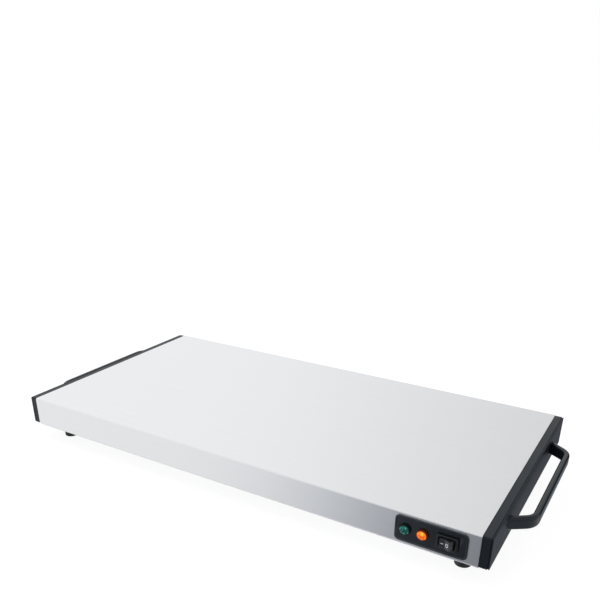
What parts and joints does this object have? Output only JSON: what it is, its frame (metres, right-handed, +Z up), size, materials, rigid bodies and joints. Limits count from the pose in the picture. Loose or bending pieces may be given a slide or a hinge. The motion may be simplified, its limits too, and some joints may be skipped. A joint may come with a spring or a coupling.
{
  "type": "electric food warmer tray",
  "caption": "Flat electric warming tray: folded brushed steel hotplate, moulded end caps with loop handles, tall feet, and a front panel with lamps and a rocker switch.",
  "frame": {"origin": "on the table, under the middle of the tray", "axes": "+X along the tray to the right, -Y the front with the control panel, +Z up"},
  "size_m": [0.648, 0.3149, 0.0578],
  "materials": {
    "brushed_stainless": "stainless steel sheet, brushed along the tray",
    "galvanised_sheet": "galvanised steel sheet",
    "zinc_screw": "zinc-plated steel fasteners",
    "cap_plastic": "dark grey moulded plastic with a fine spark-eroded grain",
    "handle_phenolic": "black phenolic, moulded and satin",
    "foot_rubber": "black moulded rubber",
    "panel_abs": "dark grey moulded ABS",
    "green_acrylic": "clear green lens, jewel-cut",
    "orange_acrylic": "clear orange lens, lit from behind",
    "neon_glass": "neon bulb",
    "black_nylon": "black moulded nylon",
    "switch_nylon": "black moulded nylon",
    "rocker_polycarbonate": "black satin polycarbonate with printed white marks",
    "white_acetal": "white acetal",
    "spring_steel": "spring steel wire",
    "brass_strip": "stamped brass",
    "mica_sheet": "pressed mica sheet",
    "resistance_ribbon": "flat resistance ribbon",
    "aluminised_steel": "aluminised steel sheet",
    "glass_wool": "glass wool mat",
    "steatite": "unglazed steatite",
    "glazed_porcelain": "white glazed porcelain",
    "fuse_tin": "tin-plated can and leads",
    "brown_silicone": "brown silicone insulation",
    "black_silicone": "black silicone insulation",
    "blue_silicone": "blue silicone insulation",
    "green_silicone": "green and yellow silicone insulation"
  },
  "bodies": {
    "tray": {"top_cover": "brushed_stainless", "base_plate": "galvanised_sheet", "left_end_cap": "cap_plastic", "right_end_cap": "cap_plastic", "left_handle": "handle_phenolic", "right_handle": "handle_phenolic", "handle_screws": "zinc_screw", "base_screws": "zinc_screw", "cap_screws": "zinc_screw", "feet": "foot_rubber", "foot_screws": "zinc_screw", "foot_nuts": "zinc_screw", "control_panel": "panel_abs", "green_lens": "green_acrylic", "orange_lens": "orange_acrylic", "lamp_clips": "zinc_screw", "neon_bulbs": "neon_glass", "lamp_backs": "black_nylon", "switch_housing": "switch_nylon", "switch_terminals": "brass_strip", "weld_studs": "zinc_screw", "stud_nuts": "zinc_screw", "spacer_tubes": "zinc_screw", "upper_mica": "mica_sheet", "heating_ribbon": "resistance_ribbon", "lower_mica": "mica_sheet", "heater_tags": "zinc_screw", "pressure_plate": "aluminised_steel", "insulation_mat": "glass_wool", "heat_shield": "aluminised_steel", "thermostat": "steatite", "thermal_fuse": "fuse_tin", "fuse_clip": "zinc_screw", "plate_rivets": "zinc_screw", "terminal_block": "glazed_porcelain", "terminal_sleeves": "brass_strip", "terminal_screws": "zinc_screw", "block_screws": "zinc_screw", "earth_stud": "zinc_screw", "earth_nut": "zinc_screw", "earth_tag": "brass_strip", "cord_gland": "black_nylon", "gland_nut": "black_nylon", "live_wire": "brown_silicone", "switched_wire": "black_silicone", "fuse_wire": "black_silicone", "heater_wire": "black_silicone", "neutral_wire": "blue_silicone", "earth_wire": "green_silicone", "lamp_wires": "brown_silicone"},
    "rocker": {"rocker": "rocker_polycarbonate", "rocker_plunger": "white_acetal", "rocker_spring": "spring_steel"},
    "contact_lever": {"contact_lever": "brass_strip"}
  },
  "joints": [
    {"name": "rocker_tilt", "type": "hinge", "parent": "tray", "child": "rocker", "pos_m": [0.2595, -0.1512, 0.0398], "axis": [0, 0, 1], "range_deg": [0, 28]},
    {"name": "lever_tilt", "type": "hinge", "parent": "tray", "child": "contact_lever", "pos_m": [0.2595, -0.1415, 0.0398], "axis": [0, 0, 1], "range_deg": [-18, 0]}
  ],
  "couplings": [
    {"joint": "lever_tilt", "follows": "rocker_tilt", "ratio": -0.64286}
  ]
}
